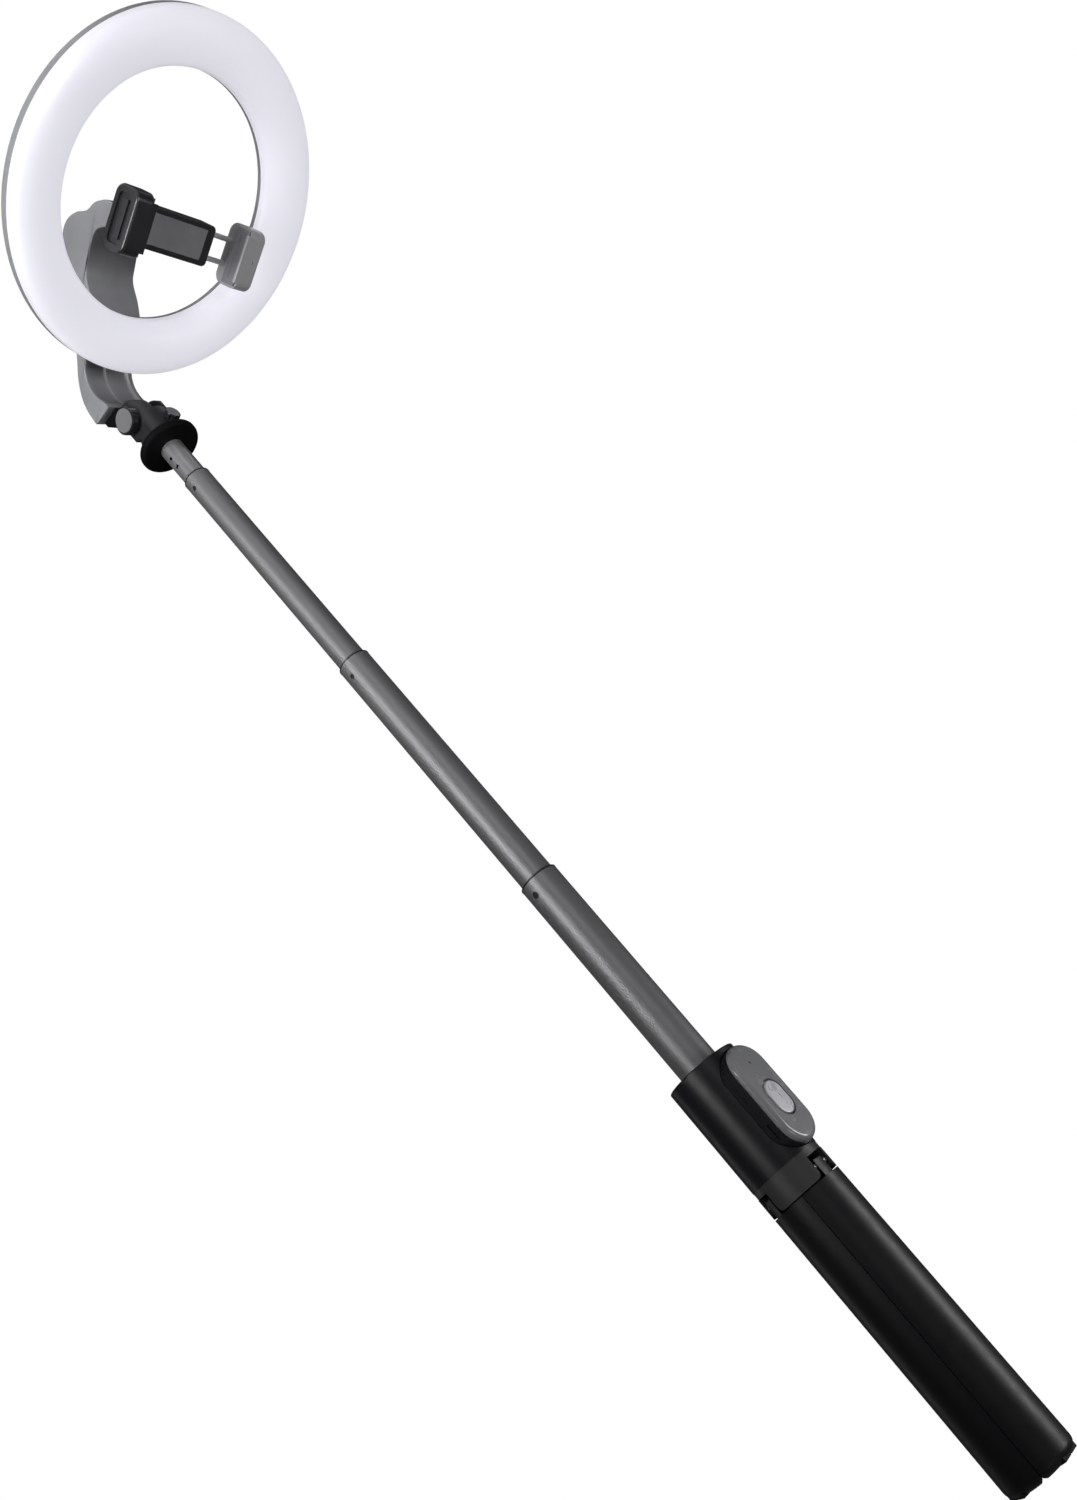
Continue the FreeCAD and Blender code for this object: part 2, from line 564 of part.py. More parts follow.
node("pan_screw", fuse("pan_screw_solid",
                       cyl("pan_screw_shank", 2.5, 16 + 1.35, (0, 0, D.flange_top - 16)),
                       cyl("pan_screw_head", 4.0, 1.0, (0, 0, D.flange_top + 1.3))))
node("tilt_bolt", cut("tilt_bolt_cut", fuse("tilt_bolt_solid",
                                            cyl("tilt_bolt_shank", D.bolt_rad, 28, (-D.neck_half + 0.2, 0, PZ), "x"),
                                            cyl("tilt_bolt_head", 4.2, 2.0, (-D.neck_half + 0.15, 0, PZ), "x")),
                      cyl("tilt_bolt_socket", 1.6, 1.4, (-D.neck_half - 0.1, 0, PZ), "x")))

# pan lock knob on the +Y side of the neck
lock = revolve("pan_lock_blank", [
    (0, -6.1), (1.9, -6.1), (1.9, 0.6), (3.6, 0.6), (3.6, 1.4), (4.9, 1.6), (4.9, 4.6), (4.2, 5.2), (0, 5.2)], "y")
lock.Placement = FreeCAD.Placement(V(0, 13.45, PZ.v - 14.6), ROT["y"])
flutes = [_at(cyl("pan_lock_flute_%d" % k, 1.5, 9, (0, 0, 0)),
              V(5.7 * math.sin(math.radians(45 * k)), 14.2, PZ.v - 14.6 + 5.7 * math.cos(math.radians(45 * k))), ROT["y"]) for k in range(8)]
node("pan_lock_knob", cut("pan_lock_cut", lock, *flutes))

# tilt knob on the +X side
knob = revolve("tilt_knob_blank", [
    (D.bolt_rad + 0.05, 12.45), (5.2, 12.45), (5.2, 13.1), (8.5, 13.3), (8.5, 17.6), (7.9, 18.2), (0, 18.2), (0, 16.3), (D.bolt_rad + 0.05, 16.3)], "x")
knob.Placement = FreeCAD.Placement(V(0, 0, PZ.v), ROT["x"])
kfl = [_at(cyl("tilt_knob_flute_%d" % k, 0.9, 8, (0, 0, 0)),
           V(12.9, 9.05 * math.sin(math.radians(20 * k)), PZ.v + 9.05 * math.cos(math.radians(20 * k))), ROT["x"]) for k in range(18)]
node("tilt_knob", cut("tilt_knob_cut", knob, *kfl))
node("tilt_knob_cap", revolve("tilt_knob_cap", [(0, 18.2), (7.3, 18.2), (7.0, 18.7), (0, 18.7)], "x"),
     FreeCAD.Placement(V(0, 0, PZ.v), ROT["x"]))

# ---------------------------------------------------------------- arm (head frame: y along the ring plane, z backwards)
ARM = [(1.8, 17.0), (3.0, 21.2), (3.8, 29.7), (7.6, 38.4), (13.7, 43.8), (21.0, 45.4), (30.0, 45.8), (48.0, 46.4), (57.0, 52.0),
       (67.4, 60.0), (80.0, 61.0), (92.0, 60.0), (97.0, 55.0), (100.5, 44.5), (111.5, 44.0), (113.2, 47.0), (113.4, 54.0), (111.6, 59.5),
       (108.4, 65.2), (102.4, 70.6), (98.8, 79.4), (92.4, 86.6), (84.0, 88.6), (73.0, 86.0), (56.0, 77.5), (38.0, 66.5), (21.0, 55.2),
       (7.7, 49.4), (-1.9, 42.6), (-7.6, 35.1), (-12.0, 25.0), (-10.6, 23.6)]
arm_out = pad("arm_outline", "YZ_Plane", ARM, D.arm_half * 2)
body_fillet(arm_out, 1.6, lambda e: abs(abs(e.BoundBox.Center.x) - 17.5) < 0.01 and e.BoundBox.XLength < 0.01)
CAV = [(30.0, 49.5), (47.5, 49.9), (55.0, 54.6), (66.5, 63.0), (80.0, 64.2), (92.0, 63.6), (99.0, 62.0), (98.0, 70.0), (94.5, 79.0),
       (90.0, 83.4), (84.0, 84.8), (74.5, 82.6), (58.0, 74.4), (40.0, 63.4), (30.0, 56.9)]
cav = pad("arm_cavity", "YZ_Plane", CAV, D.arm_half * 2 - D.arm_wall * 2)
COVER = [(91.0, 90.5), (84.0, 92.0), (72.0, 90.0), (55.0, 81.0), (36.0, 69.0), (28.2, 63.5), (30.2, 57.2), (40.0, 63.6), (58.0, 74.6), (74.5, 82.8), (84.0, 85.0), (90.2, 83.6), (91.5, 84.6)]
cover_tool = pad("arm_cover_tool", "YZ_Plane", COVER, D.arm_half * 2 - 5.0)
cover = common("arm_cover_common", arm_out, cover_tool)
TROUGH = [(1.0, 22.5), (5.5, 21.0), (6.3, 29.3), (9.6, 37.0), (15.0, 41.3), (21.0, 42.6), (21.6, 48.2), (12.6, 46.8), (5.4, 41.2), (1.0, 31.0)]
trough_l = pad("arm_trough_left", "YZ_Plane", TROUGH, 11.6)
trough_r = pad("arm_trough_right", "YZ_Plane", TROUGH, 14.2)
trough_l.Placement = FreeCAD.Placement(V(9.0, 0, 0), FreeCAD.Rotation())
trough_r.Placement = FreeCAD.Placement(V(-7.7, 0, 0), FreeCAD.Rotation())

# black hinge block: tongue, cross piece and tenon
tongue = cyl("tongue_eye", D.tongue_rad, D.tongue_half * 2, (-D.tongue_half, 0, 0), "x")
tongue_bar = pad("tongue_bar", "YZ_Plane", [(8.3, 0.6), (3.8, 13.0), (1.9, 16.6), (-9.8, 18.0), (-9.0, 12.0), (-8.3, 3.0)], D.tongue_half * 2)
cross = pad("hinge_cross", "YZ_Plane", [(3.4, 11.5), (1.7, 16.85), (-10.75, 23.4), (-11.9, 20.0), (-9.0, 11.5)], D.neck_half * 2)
cross_cut = cut("hinge_cross_cut", cross, cyl("ear_clear", D.ear_rad + 0.45, 60, (-30, 0, 0), "x"))
tenon = pad("hinge_tenon", "YZ_Plane", [(-6.2, 18.0), (-0.6, 15.2), (0.6, 31.0), (-4.0, 34.0)], 12.0)
block = cut("hinge_block_cut", fuse("hinge_block_all", tongue, tongue_bar, cross_cut, tenon),
            cyl("tongue_bore", D.bolt_rad + 0.05, 40, (-20, 0, 0), "x"))

post_bore = cyl("clamp_post_bore", 3.46, 15.5, (0, D.clamp_t, 38))
boss = cyl("clamp_boss", 9.2, 17, (0, D.clamp_t, 38))
arm_all = fuse("arm_with_boss", arm_out, boss)
port_hole = box("charge_port_hole", (-D.arm_half - 1, 74.0, 72.3), (-D.arm_half + 4, 83.2, 75.7))
shell = cut("arm_shell_cut", arm_all, cav, cover_tool, trough_l, trough_r, tenon, post_bore, port_hole)
node("arm_shell", shell, HEAD)
node("arm_cover", cover, HEAD)
node("hinge_block", block, HEAD)
node("battery_cell", fillet("battery_round", box("battery_block", (-14.2, 58.0, 65.0), (14.2, 90.5, 71.0)), 1.2,
                            lambda e: abs(e.BoundBox.XLength) < 0.01 and abs(e.BoundBox.ZLength) > 1 and abs(e.BoundBox.YLength) < 0.01), HEAD)
node("control_board", box("control_board_plate", (-13.5, 67.0, 76.4), (13.5, 88.0, 77.6)), HEAD)
port = cut("charge_port_cut", box("charge_port_block", (-17.2, 74.1, 72.4), (-10.0, 83.1, 75.6)),
           box("charge_port_mouth", (-18, 74.6, 72.9), (-11.5, 82.6, 75.1)))
port_tongue = box("charge_port_tongue", (-16.4, 75.6, 73.7), (-11.4, 81.6, 74.3))
node("charge_port", fuse("charge_port_all", port, port_tongue), HEAD)

# ---------------------------------------------------------------- ring light (centre on the ring axis, z backwards)
RING = HEAD * FreeCAD.Placement(V(0, D.ring_c.v, D.ring_set.v), FreeCAD.Rotation())
housing = revolve("ring_housing_turned", [
    (D.ring_rad, D.ring_lip), (D.ring_rad, D.ring_back - 2.2), (D.ring_rad - 0.8, D.ring_back - 0.8), (D.ring_rad - 2.6, D.ring_back),
    (D.ring_in + 2.6, D.ring_back), (D.ring_in + 0.8, D.ring_back - 0.8), (D.ring_in, D.ring_back - 2.2), (D.ring_in, D.ring_seam),
    (D.ring_in + 1.8, D.ring_seam), (D.ring_in + 1.8, D.ring_back - 2.0), (D.ring_rad - 1.8, D.ring_back - 2.0), (D.ring_rad - 1.8, D.ring_lip)])
BTN = [("power_button", -18.0), ("up_button", -30.0), ("down_button", -6.0)]
btn_holes = []
for bn, ang in BTN:
    a = math.radians(ang)
    btn_holes.append(_at(cyl(bn + "_hole", 3.35, 8, (0, 0, 0)), V(87.5 * math.cos(a), 87.5 * math.sin(a), 24), FreeCAD.Rotation()))
for k, (x, t) in enumerate(((-7, 33.5), (7, 33.5), (-7, 44.0), (7, 44.0)), start=1):
    btn_holes.append(cyl("housing_screw_hole_%d" % k, 1.25, 8, (x, t - D.ring_c, 24)))
standoffs = [_at(cyl("board_post_%d" % k, 2.0, 2.4, (0, 0, 0)),
                 V(88.5 * math.cos(math.radians(a)), 88.5 * math.sin(math.radians(a)), 24.8), FreeCAD.Rotation())
             for k, a in enumerate((15, 75, 135, 195, 240, 315), start=1)]
node("ring_housing", cut("ring_housing_cut", fuse("ring_housing_all", housing, *standoffs), *btn_holes), RING)

R = D.ring_rad
dome = [(R.v - 0.05, D.ring_lip.v), (R.v, 17.7), (R.v - 0.9, 15.6), (R.v - 3.2, 13.7), (R.v - 7.5, 12.3), (R.v - 12.5, 11.9), (R.v - 17.5, 12.3), (R.v - 22.5, 13.5),
        (R.v - 27.0, 15.6), (R.v - 30.2, 18.0), (D.ring_in.v, 20.6), (D.ring_in.v, 24.6)]
inner = [(D.ring_in.v + 1.9, 24.6), (D.ring_in.v + 1.9, 20.9), (R.v - 29.4, 19.3), (R.v - 26.2, 17.1), (R.v - 22.0, 15.2), (R.v - 17.3, 14.1), (R.v - 12.5, 13.7), (R.v - 8.0, 14.1),
         (R.v - 4.3, 15.4), (R.v - 2.6, 16.9), (R.v - 1.9, 18.5), (R.v - 1.9, D.ring_lip.v)]
node("ring_diffuser", revolve("ring_diffuser", dome + inner), RING)
node("led_board", revolve("led_board", [(79.5, 23.6), (97.5, 23.6), (97.5, 24.8), (79.5, 24.8)]), RING)
leds = []
for k in range(48):
    a = 360.0 * k / 48
    o = box("led_%02d" % k, (0, 0, 0), (3.5, 2.8, 0.8))
    o.Placement = turn(a) * FreeCAD.Placement(V(86.7, -1.4, 22.75), FreeCAD.Rotation())
    leds.append(o)
led_group = doc.addObject("Part::Compound", "leds_group")
led_group.Links = leds
node("leds", led_group, RING)
for bn, ang in BTN:
    a = math.radians(ang)
    b = revolve(bn + "_turned", [(0, 26.3), (4.4, 26.3), (4.4, 26.9), (3.2, 26.9), (3.2, 29.9), (2.7, 30.4), (0, 30.6)])
    node(bn, b, RING * FreeCAD.Placement(V(87.5 * math.cos(a), 87.5 * math.sin(a), 0), FreeCAD.Rotation()))

# bracket between the back of the ring and the arm
bracket = pad("ring_bracket_block", "YZ_Plane", [(27.6, D.ring_back + D.ring_set + 0.05), (50.0, D.ring_back + D.ring_set + 0.05), (48.0, 46.3), (30.0, 45.7), (29.0, 40.0)], 24.0)
body_fillet(bracket, 2.5, lambda e: abs(abs(e.BoundBox.Center.x) - 12.0) < 0.01 and e.BoundBox.XLength < 0.01 and e.BoundBox.ZLength > 8)
bolts = []
for k, (x, t) in enumerate(((-7, 33.5), (7, 33.5), (-7, 44.0), (7, 44.0)), start=1):
    bolts.append((x, t))
node("ring_bracket", cut("ring_bracket_cut", bracket, *[cyl("bracket_hole_%d" % k, 1.25, 30, (x, t, 28)) for k, (x, t) in enumerate(bolts, start=1)]), HEAD)
node("bracket_screws", fuse("bracket_screws_group", *[
    cyl("bracket_screw_%d" % k, 1.25, 13.5, (x, t, 29.5)) for k, (x, t) in enumerate(bolts, start=1)]), HEAD)

# ---------------------------------------------------------------- phone clamp (own frame: x across the jaws, y along them, z backwards)
cb = box("clamp_block", (-20, -12, 1.6), (33.0, 12, 13.0))
cb = fillet("clamp_block_round", cb, 3.0, lambda e: abs(e.BoundBox.ZLength - 11.4) < 0.01)
cb = fillet("clamp_block_soft", cb, 0.8, lambda e: abs(e.BoundBox.ZMin - 1.6) < 0.01 and abs(e.BoundBox.ZMax - 1.6) < 0.01)
post = fuse("clamp_post_solid", cyl("clamp_post_wide", 8.0, 24.7, (0, 0, 13.05)), cyl("clamp_post_spigot", 3.4, 15.0, (0, 0, 37.0)))
rod_holes = [cyl("rod_hole_%d" % k, D.rod_rad + 0.05, 60, (-25, u, 7.4), "x") for k, u in ((1, -7.0), (2, 7.0))]
spring_hole = cyl("spring_room", 3.4, 44, (-14, 0, 7.4), "x")
pad_recess = box("clamp_pad_recess", (-14, -9, 1.0), (27, 9, 2.4))
node("clamp_body", cut("clamp_body_cut", cb, *rod_holes, spring_hole, pad_recess,
                       cyl("clamp_socket", 5.0, 3, (0, 0, 11.0))), CLAMP)
node("clamp_post", fuse("clamp_post_all", post, cyl("clamp_post_peg", 4.95, 2.1, (0, 0, 11.2))), CLAMP)
node("clamp_pad", box("clamp_pad_block", (-13.9, -8.9, 1.5), (26.9, 8.9, 2.4)), CLAMP)


def jaw(tag, side):
    """One jaw: a rounded block with a front lip, a sunk outer panel and a rib."""
    s = side
    def bx(name, x0, x1, y0, y1, z0, z1):
        lo, hi = (x0, x1) if s > 0 else (-Q.of(x1), -Q.of(x0))
        return box(tag + name, (lo, y0, z0), (hi, y1, z1))
    blk = bx("_block", D.clamp_gap + 1.5, D.jaw_out, -D.jaw_half, D.jaw_half, D.jaw_front, D.jaw_back)
    blk = fillet(tag + "_ends", blk, 6.0, lambda e: e.BoundBox.XLength > 5 and e.BoundBox.YLength < 0.01 and e.BoundBox.ZLength < 0.01)
    blk = fillet(tag + "_front", blk, 1.6, lambda e: abs(abs(e.BoundBox.Center.x) - 49.0) < 0.02 and e.BoundBox.XLength < 0.01)
    lip = bx("_lip", D.clamp_gap - 1.6, D.clamp_gap + 3.0, -14.0, 14.0, D.jaw_front, D.jaw_front + 2.0)
    lip = fillet(tag + "_lip_round", lip, 0.8, lambda e: abs(abs(e.BoundBox.Center.x) - 34.4) < 0.02 and e.BoundBox.YLength > 20)
    panel = bx("_panel", D.jaw_out - 1.4, D.jaw_out + 3, -14.0, 14.0, D.jaw_front + 4.0, D.jaw_back - 4.0)
    panel = fillet(tag + "_panel_round", panel, 3.0, lambda e: e.BoundBox.XLength > 3)
    rib = bx("_rib", D.jaw_out - 1.5, D.jaw_out - 0.3, -11.0, 11.0, -2.2, 2.4)
    return blk, lip, panel, rib


jb, jl, jp, jr = jaw("fixed_jaw", 1)
bridge = box("fixed_jaw_bridge", (32.98, -10, 3.0), (D.clamp_gap + 2, 10, D.jaw_back))
node("fixed_jaw", fuse("fixed_jaw_all", cut("fixed_jaw_cut", fuse("fixed_jaw_solid", jb, jl, bridge), jp, box("fixed_jaw_joint", (30, -11, 0), (33.03, 11, 13))), jr), CLAMP)
node("fixed_jaw_pad", cut("fixed_jaw_pad_cut", box("fixed_pad_block", (D.clamp_gap, -16.5, D.jaw_front + 2.1), (D.clamp_gap + 1.5, 16.5, 2.8)),
                          box("fixed_pad_groove", (D.clamp_gap - 1, -13.0, -3.8), (D.clamp_gap + 0.5, 13.0, -1.2))), CLAMP)
jb, jl, jp, jr = jaw("sliding_jaw", -1)
node("sliding_jaw", fuse("sliding_jaw_all", cut("sliding_jaw_cut", fuse("sliding_jaw_solid", jb, jl), jp,
                                                *[cyl("sliding_rod_seat_%d" % k, D.rod_rad, 12, (-D.jaw_out + 3.0, u, 7.4), "x") for k, u in ((1, -7.0), (2, 7.0))],
                                                cyl("sliding_mark", 1.2, 0.6, (-43, 0, D.jaw_front - 0.1))),
                         jr), CLAMP)
node("sliding_jaw_pad", cut("sliding_jaw_pad_cut", box("sliding_pad_block", (-D.clamp_gap - 1.5, -16.5, D.jaw_front + 2.1), (-D.clamp_gap, 16.5, 2.8)),
                            box("sliding_pad_groove", (-D.clamp_gap - 0.5, -13.0, -3.8), (-D.clamp_gap + 1, 13.0, -1.2))), CLAMP)
node("guide_rods", fuse("guide_rods_group", *[cyl("guide_rod_%d" % k, D.rod_rad, 59.0, (-D.jaw_out + 3.0, u, 7.4), "x") for k, u in ((1, -7.0), (2, 7.0))]), CLAMP)
helix = Part.makeHelix(2.4, 38.4, 2.55)
wire_r = 0.4
profile = Part.Wire([Part.makeCircle(wire_r, V(2.55, 0, 0), V(0, 1, 0))])
coil = Part.Wire(helix.Edges).makePipeShell([profile], True, True)
spring = doc.addObject("Part::Feature", "clamp_spring_coil")
spring.Shape = coil
node("clamp_spring", spring, CLAMP * FreeCAD.Placement(V(-12.5, 0, 7.4), ROT["x"]))

# ---------------------------------------------------------------- remote
low_blank = pill("remote_low_pill", D.remote_wide, D.remote_half, D.remote_low_y, D.remote_seam_y)
cell_room = cyl("cell_room", 10.2, 6.2, (0, 14.9, D.remote_z - 3), "y")
board_room = box("board_room", (-9.5, 18.2, D.remote_z - 22), (9.5, 25, D.remote_z + 22))
side_slot = box("remote_side_slot", (D.remote_wide - 1.2, 17.2, D.remote_z - 19.0), (D.remote_wide + 1, 18.8, D.remote_z - 10.5))
node("remote_lower_shell", cut("remote_lower_cut", low_blank, cell_room, board_room, side_slot))
up_blank = pill("remote_up_pill", D.remote_wide - 0.35, D.remote_half - 0.35, D.remote_seam_y, D.remote_top_y)
up_blank = fillet("remote_up_round", up_blank, 2.4, lambda e: abs(e.BoundBox.YMin - 24.7) < 0.02 and abs(e.BoundBox.YMax - 24.7) < 0.02)
up_room = box("remote_up_room", (-9.5, 20, D.remote_z - 22), (9.5, D.remote_top_y - 1.4, D.remote_z + 22))


def oval(name, rx, rz, y0, y1, dz):
    """An oval peg along Y, from a round one stretched along Z."""
    a = box(name + "_mid", (-rx, y0, D.remote_z + dz - (rz - rx)), (rx, y1, D.remote_z + dz + (rz - rx)))
    b = cyl(name + "_up", rx, Q.of(y1) - Q.of(y0), (0, y0, D.remote_z + dz + (rz - rx)), "y")
    c = cyl(name + "_down", rx, Q.of(y1) - Q.of(y0), (0, y0, D.remote_z + dz - (rz - rx)), "y")
    return fuse(name, a, b, c)


node("remote_upper_shell", cut("remote_upper_cut", up_blank, up_room,
                               oval("button_hole", 7.0, 10.3, 19, 28, -4.0),
                               cyl("led_hole", 0.65, 6, (0, 21, D.remote_z + 16.6), "y")))
btn = oval("shutter_button_solid", 6.0, 9.3, 21.9, 25.1, -4.0)
btn = fillet("shutter_button_round", btn, 0.7, lambda e: abs(e.BoundBox.YMin - 25.1) < 0.02 and abs(e.BoundBox.YMax - 25.1) < 0.02)
btn_flange = oval("shutter_button_flange", 7.9, 11.2, 21.6, 22.3, -4.0)
node("shutter_button", cut("shutter_button_cut", fuse("shutter_button_all", btn, btn_flange), cyl("shutter_button_dimple", 1.3, 1.0, (0, 24.85, D.remote_z - 4.0), "y")))
node("remote_board", box("remote_board_plate", (-9.0, 18.2, D.remote_z - 21), (9.0, 19.2, D.remote_z + 21)))
node("coin_cell", cyl("coin_cell_disc", 10.0, 3.2, (0, 14.9, D.remote_z - 3), "y"))

# ---------------------------------------------------------------- checks and output
doc.recompute()
bad = [o.Name for o in doc.Objects if "Invalid" in o.State or "Error" in o.State]
if bad:
    raise SystemExit("failed objects: %s" % bad)
total = 0.0
for name, o in sorted(made.items()):
    sh = o.Shape
    if sh.isNull() or not sh.isValid() or sh.Volume <= 0:
        raise SystemExit("bad shape: %s null=%s" % (name, sh.isNull()))
    if not sh.Solids:
        raise SystemExit("no solid: %s" % name)
    total += sh.Volume
    bb = sh.BoundBox
    print("%-20s solids %2d vol %9.1f  x %.1f..%.1f y %.1f..%.1f z %.1f..%.1f" % (
        name, len(sh.Solids), sh.Volume, bb.XMin, bb.XMax, bb.YMin, bb.YMax, bb.ZMin, bb.ZMax))
for name, o in sorted(made.items()):
    o.Shape.exportStep("parts/%s.step" % name)
print(len(made), "nodes, volume", round(total / 1000.0, 1), "cm3")
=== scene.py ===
import bpy
import bmesh
import math
from mathutils import Matrix, Quaternion, Vector
from mathutils.geometry import tessellate_polygon


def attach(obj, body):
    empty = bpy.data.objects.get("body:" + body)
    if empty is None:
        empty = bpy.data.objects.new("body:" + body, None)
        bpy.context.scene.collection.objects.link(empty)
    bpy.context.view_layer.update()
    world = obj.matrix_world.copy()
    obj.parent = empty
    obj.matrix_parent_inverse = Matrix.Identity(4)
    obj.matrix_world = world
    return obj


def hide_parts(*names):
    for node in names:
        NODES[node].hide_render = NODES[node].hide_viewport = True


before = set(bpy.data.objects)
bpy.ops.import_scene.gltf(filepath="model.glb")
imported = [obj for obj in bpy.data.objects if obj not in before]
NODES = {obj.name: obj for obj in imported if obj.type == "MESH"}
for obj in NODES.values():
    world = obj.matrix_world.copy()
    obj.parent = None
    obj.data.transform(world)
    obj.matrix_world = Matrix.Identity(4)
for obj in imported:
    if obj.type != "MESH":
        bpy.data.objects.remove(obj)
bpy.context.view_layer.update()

SC = bpy.context.scene
MM = 0.001


# ------------------------------------------------------------------ node materials
def new_mat(name):
    m = bpy.data.materials.new(name)
    m.use_nodes = True
    nt = m.node_tree
    nt.nodes.clear()
    out = nt.nodes.new("ShaderNodeOutputMaterial")
    bsdf = nt.nodes.new("ShaderNodeBsdfPrincipled")
    nt.links.new(bsdf.outputs[0], out.inputs[0])
    return m, nt, bsdf


def coords(nt, scale=(1, 1, 1), rot=(0, 0, 0)):
    tc = nt.nodes.new("ShaderNodeTexCoord")
    mp = nt.nodes.new("ShaderNodeMapping")
    mp.inputs["Scale"].default_value = scale
    mp.inputs["Rotation"].default_value = rot
    nt.links.new(tc.outputs["Object"], mp.inputs[0])
    return mp.outputs[0]


def noise(nt, vec, scale, detail=3.0, rough=0.55, distortion=0.0):
    n = nt.nodes.new("ShaderNodeTexNoise")
    n.inputs["Scale"].default_value = scale
    n.inputs["Detail"].default_value = detail
    n.inputs["Roughness"].default_value = rough
    n.inputs["Distortion"].default_value = distortion
    nt.links.new(vec, n.inputs["Vector"])
    return n.outputs[0]


def remap(nt, value, lo, hi, a=0.3, b=0.7):
    r = nt.nodes.new("ShaderNodeMapRange")
    r.inputs["From Min"].default_value = a
    r.inputs["From Max"].default_value = b
    r.inputs["To Min"].default_value = lo
    r.inputs["To Max"].default_value = hi
    nt.links.new(value, r.inputs[0])
    return r.outputs[0]


def ramp(nt, value, stops):
    r = nt.nodes.new("ShaderNodeValToRGB")
    el = r.color_ramp.elements
    while len(el) > 1:
        el.remove(el[-1])
    el[0].position, el[0].color = stops[0][0], (*stops[0][1], 1)
    for p, c in stops[1:]:
        e = el.new(p)
        e.color = (*c, 1)
    nt.links.new(value, r.inputs[0])
    return r.outputs[0]


def mix(nt, fac, a, b, mode="MIX"):
    n = nt.nodes.new("ShaderNodeMix")
    n.data_type = "RGBA"
    n.blend_type = mode
    for sock, val in ((n.inputs[0], fac), (n.inputs[6], a), (n.inputs[7], b)):
        if isinstance(val, bpy.types.NodeSocket):
            nt.links.new(val, sock)
        elif isinstance(val, (tuple, list)):
            sock.default_value = (*val[:3], 1)
        else:
            sock.default_value = val
    return n.outputs[2]


def calc(nt, op, a, b=0.0, c=0.0):
    n = nt.nodes.new("ShaderNodeMath")
    n.operation = op
    for sock, val in zip(n.inputs, (a, b, c)):
        if isinstance(val, bpy.types.NodeSocket):
            nt.links.new(val, sock)
        else:
            sock.default_value = val
    return n.outputs[0]


def bump(nt, bsdf, height, dist, strength=1.0, chain=None):
    b = nt.nodes.new("ShaderNodeBump")
    b.inputs["Strength"].default_value = strength
    b.inputs["Distance"].default_value = dist
    nt.links.new(height, b.inputs["Height"])
    if chain is not None:
        nt.links.new(chain, b.inputs["Normal"])
    nt.links.new(b.outputs[0], bsdf.inputs["Normal"])
    return b.outputs[0]


def plastic(name, col, rough, grain=0.0, grain_scale=1800.0, coat=0.0, coat_rough=0.1, spec=0.5, vary=0.12, rough_vary=0.06, wear=0.0, wear_col=None, metallic=0.0):
    """Moulded or painted surface: tone drift, roughness drift, fine grain, light wear on edges."""
    m, nt, bs = new_mat(name)
    v = coords(nt)
    big = noise(nt, v, 38.0, 4.0)
    lo = [c * (1 - vary) for c in col]
    hi = [c * (1 + vary) for c in col]
    colour = ramp(nt, big, [(0.3, lo), (0.7, hi)])
    if wear > 0:
        geo = nt.nodes.new("ShaderNodeNewGeometry")
        edge = remap(nt, geo.outputs["Pointiness"], 0.0, 1.0, 0.53, 0.60)
        spots = remap(nt, noise(nt, v, 420.0, 3.0), 0.0, 1.0, 0.45, 0.62)
        amount = calc(nt, "MULTIPLY", calc(nt, "MULTIPLY", edge, spots), wear)
        colour = mix(nt, amount, colour, wear_col or [min(1, c * 3 + 0.08) for c in col])
    nt.links.new(colour, bs.inputs["Base Color"])
    fine = noise(nt, v, 160.0, 3.0)
    nt.links.new(remap(nt, fine, rough - rough_vary, rough + rough_vary), bs.inputs["Roughness"])
    bs.inputs["Metallic"].default_value = metallic
    bs.inputs["Specular IOR Level"].default_value = spec
    bs.inputs["Coat Weight"].default_value = coat
    bs.inputs["Coat Roughness"].default_value = coat_rough
    if grain > 0:
        g = noise(nt, v, grain_scale, 2.0, 0.6)
        bump(nt, bs, g, grain * MM)
    return m


def tube_metal(name, col, rough=0.34, streak=1.0):
    """Drawn and anodised aluminium: long fine lines, faint scuffs, darker drift along the length."""
    m, nt, bs = new_mat(name)
    lines = noise(nt, coords(nt, (1.0, 1.0, 0.006)), 900.0, 2.0, 0.5)
    soft = noise(nt, coords(nt, (1.0, 1.0, 0.03)), 320.0, 2.0)
    drift = noise(nt, coords(nt, (1.0, 1.0, 0.4)), 14.0, 3.0)
    tone = calc(nt, "ADD", calc(nt, "MULTIPLY", lines, 0.25 * streak), calc(nt, "ADD", calc(nt, "MULTIPLY", soft, 0.35 * streak), calc(nt, "MULTIPLY", drift, 1.0 - 0.6 * streak)))
    colour = ramp(nt, tone, [(0.25, [c * 0.88 for c in col]), (0.75, [c * 1.12 for c in col])])
    scuff = remap(nt, noise(nt, coords(nt, (1.0, 1.0, 0.15)), 300.0, 3.0, 0.6), 0.0, 0.10, 0.62, 0.80)
    colour = mix(nt, scuff, colour, [min(1, c * 1.7) for c in col])
    nt.links.new(colour, bs.inputs["Base Color"])
    bs.inputs["Metallic"].default_value = 0.65
    nt.links.new(remap(nt, calc(nt, "ADD", calc(nt, "MULTIPLY", lines, 0.15), calc(nt, "MULTIPLY", drift, 0.85)), rough - 0.02, rough + 0.02), bs.inputs["Roughness"])
    bs.inputs["Specular IOR Level"].default_value = 0.5
    return m


